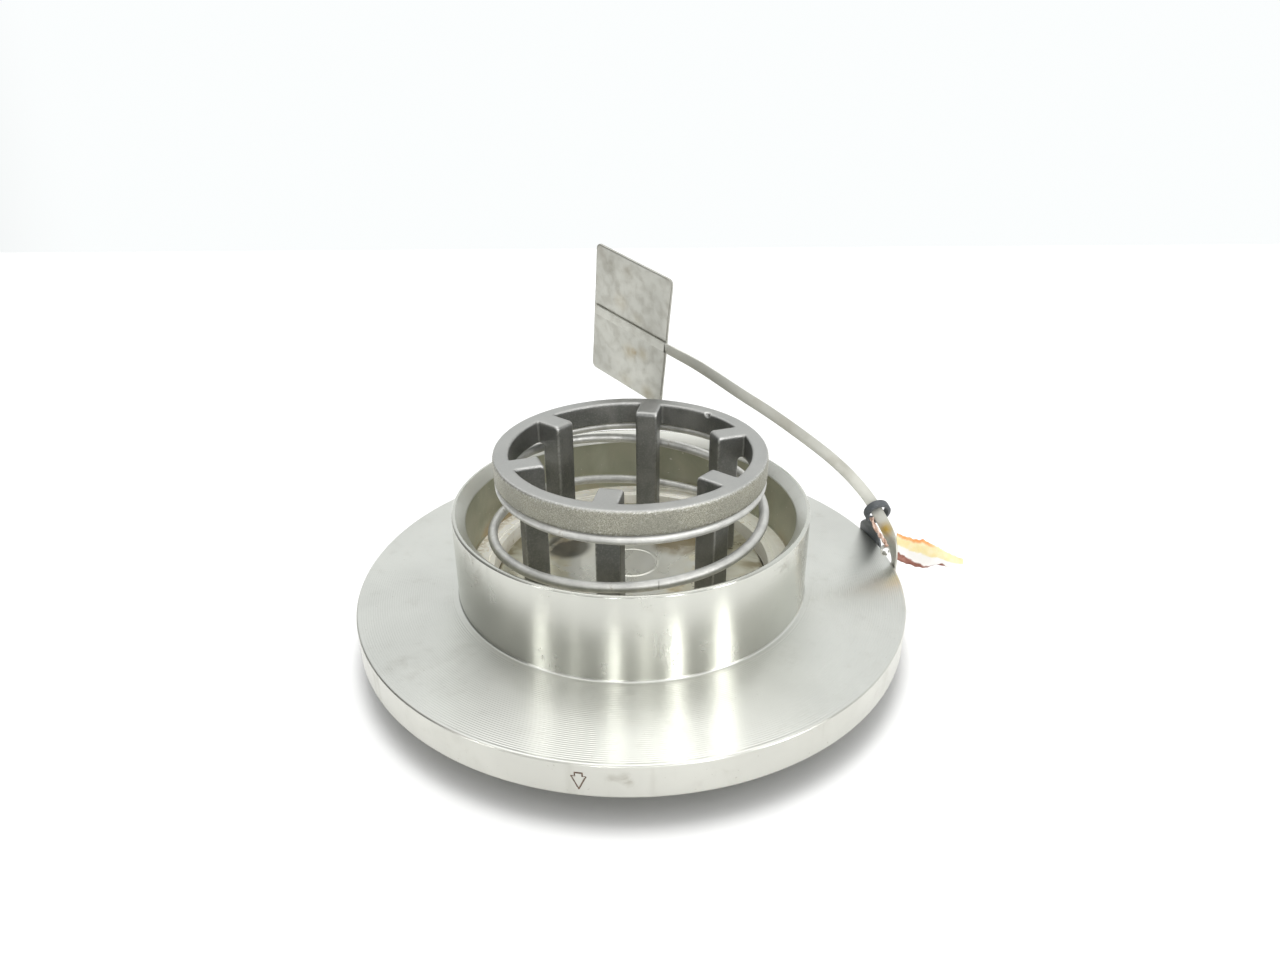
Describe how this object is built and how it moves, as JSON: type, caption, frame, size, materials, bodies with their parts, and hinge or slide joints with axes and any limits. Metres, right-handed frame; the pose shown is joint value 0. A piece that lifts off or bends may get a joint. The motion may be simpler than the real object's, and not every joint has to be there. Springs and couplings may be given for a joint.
{
  "type": "wafer check valve",
  "caption": "Spring-loaded poppet check valve clamped between pipe flanges; a collar centres it in the pipe bore and an arm carries a tag.",
  "frame": {"origin": "on the flow axis, level with the plate's gasket face on the collar side", "axes": "+Z along the flow axis out of the collar, against the flow; +X towards the foot of the tag strap"},
  "size_m": [0.2224, 0.2035, 0.1225],
  "materials": {
    "body_steel": "turned stainless, finely grooved face",
    "disc_steel": "turned stainless, stained",
    "cage_steel": "investment cast stainless, dull",
    "screw_steel": "bright stainless",
    "seal_rubber": "moulded, satin",
    "spring_steel": "drawn stainless wire, satin",
    "strap_steel": "rolled strip, dull",
    "tag_steel": "rolled sheet, stained",
    "loop_rubber": "satin, aged",
    "wire_sheath": "faded, twisted",
    "label_paper": "torn paper"
  },
  "bodies": {
    "body": {"valve_body": "body_steel", "return_spring": "spring_steel", "tag_strap": "strap_steel", "tag_plate": "tag_steel", "tie_loop": "loop_rubber", "label_wire": "wire_sheath", "torn_label": "label_paper"},
    "poppet": {"poppet_disc": "disc_steel", "guide_cage": "cage_steel", "cage_screws": "screw_steel", "seat_o_ring": "seal_rubber"}
  },
  "joints": [
    {"name": "poppet_lift", "type": "slide", "parent": "body", "child": "poppet", "axis": [0, 0, -1], "range_m": [0, 0.014], "stiffness_N_per_m": 1080, "springref_m": -0.0245, "deforming": ["return_spring"]}
  ]
}
